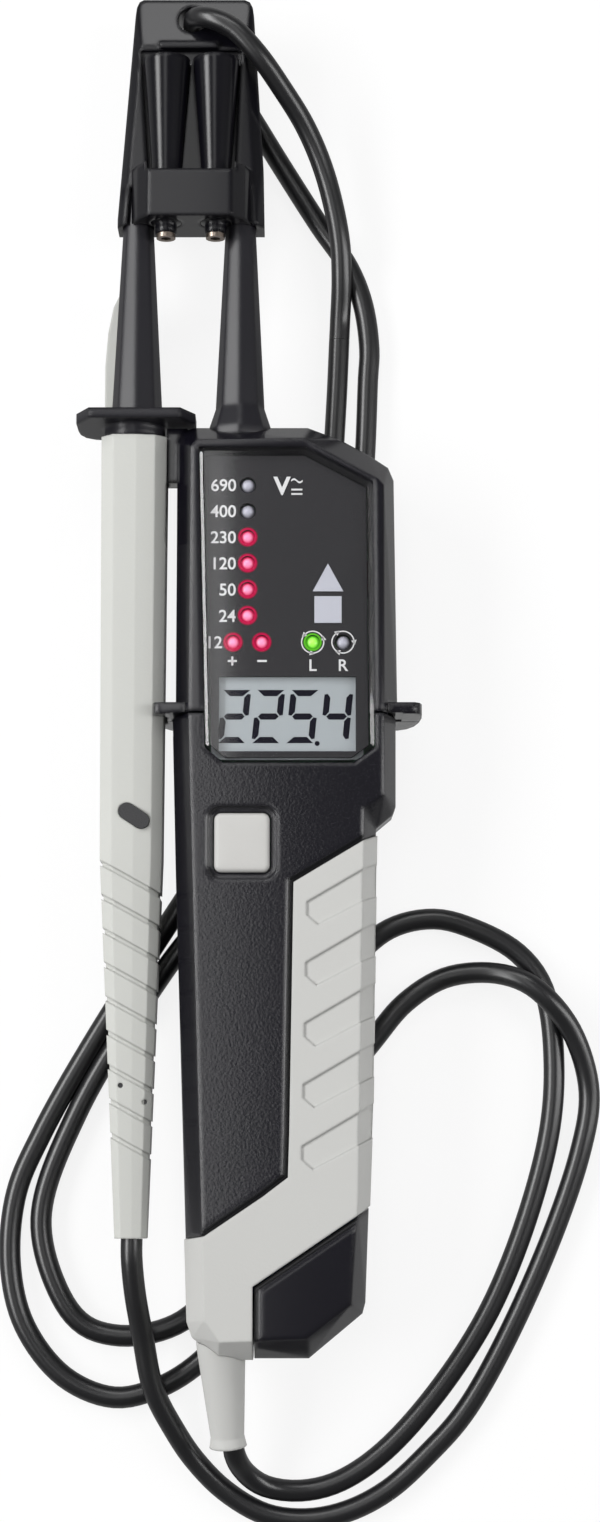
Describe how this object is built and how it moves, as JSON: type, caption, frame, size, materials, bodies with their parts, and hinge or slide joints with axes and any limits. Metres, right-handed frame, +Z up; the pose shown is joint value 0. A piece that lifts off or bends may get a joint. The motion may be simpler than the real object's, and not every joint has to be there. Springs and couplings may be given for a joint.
{
  "type": "voltage tester",
  "caption": "Two-pole voltage tester lying on its back: handset with window, button and grip, docked second probe, tip cap and looped cord.",
  "frame": {"origin": "on the table, under the centre of the object's box without its free cord", "axes": "+Y along the tester towards its tips, +Z up out of the display, +X across towards the head's far side"},
  "size_m": [0.1203, 0.3111, 0.0254],
  "materials": {
    "housing_black": "satin moulded black",
    "panel_black": "fine textured black with a slight sparkle",
    "grip_grey": "soft matt light grey overmould",
    "probe_grey": "satin light grey",
    "window_clear": "clear gloss plastic",
    "face_black": "gloss black print",
    "display_grey": "grey liquid crystal glass",
    "board_green": "coated circuit board",
    "lamp_red": "lit red lamp",
    "lamp_green": "lit green lamp",
    "lamp_clear": "unlit lamp",
    "symbol_grey": "diffusing grey",
    "button_grey": "matt light grey",
    "insulator_black": "satin black",
    "pin_metal": "plated brass pin",
    "steel": "zinc plated steel",
    "insert_dark": "dark grey rubber",
    "fin_grey": "light grey",
    "cell_sleeve": "plain blue sleeve",
    "cord_black": "soft black silicone"
  },
  "bodies": {
    "tester": {"rear_shell": "housing_black", "head_cover": "housing_black", "lower_front_panel": "panel_black", "grip_overmould": "grip_grey", "display_window": "window_clear", "face_plate": "face_black", "lcd_module": "display_grey", "circuit_board": "board_green", "lamps_red": "lamp_red", "lamps_green": "lamp_green", "lamps_clear": "lamp_clear", "symbol_windows": "symbol_grey", "button_switch": "insert_dark", "buzzer": "insulator_black", "batteries": "cell_sleeve", "battery_contacts": "steel", "housing_screws": "steel", "main_tip_insulator": "insulator_black", "main_tip_pin": "pin_metal", "cord_boot": "grip_grey", "cord_main_run": "cord_black", "cord_probe_run": "cord_black"},
    "second_probe": {"probe_tube": "probe_grey", "probe_nose": "insulator_black", "probe_tip_pin": "pin_metal", "probe_insert": "insert_dark", "probe_rear_fin": "fin_grey", "probe_board": "board_green"},
    "cap": {"tip_cap": "insulator_black", "tip_sleeve_left": "insulator_black", "tip_sleeve_right": "insulator_black", "cord_cap_loop": "cord_black"},
    "adapter_left": {"tip_adapter_left": "pin_metal"},
    "adapter_right": {"tip_adapter_right": "pin_metal"},
    "battery_door": {"battery_cover": "housing_black", "battery_cover_contact": "steel"},
    "door_screw": {"battery_cover_screw": "steel"},
    "button": {"button_cap": "button_grey"}
  },
  "joints": [
    {"name": "probe_undock", "type": "slide", "parent": "tester", "child": "second_probe", "axis": [0, 1, 0], "range_m": [0, 0.014]},
    {"name": "cap_pull", "type": "slide", "parent": "second_probe", "child": "cap", "axis": [0, 1, 0], "range_m": [0, 0.03]},
    {"name": "adapter_left_pull", "type": "slide", "parent": "cap", "child": "adapter_left", "axis": [0, -1, 0], "range_m": [0, 0.018]},
    {"name": "adapter_right_pull", "type": "slide", "parent": "cap", "child": "adapter_right", "axis": [0, -1, 0], "range_m": [0, 0.018]},
    {"name": "battery_door_slide", "type": "slide", "parent": "tester", "child": "battery_door", "axis": [0, -1, 0], "range_m": [0, 0.02]},
    {"name": "door_screw_turn", "type": "hinge", "parent": "battery_door", "child": "door_screw", "pos_m": [0.01217, -0.1168, 0], "axis": [0, 0, 1], "range_deg": [0, 90]},
    {"name": "button_press", "type": "slide", "parent": "tester", "child": "button", "axis": [0, 0, -1], "range_m": [0, 0.001], "stiffness_N_per_m": 400}
  ]
}
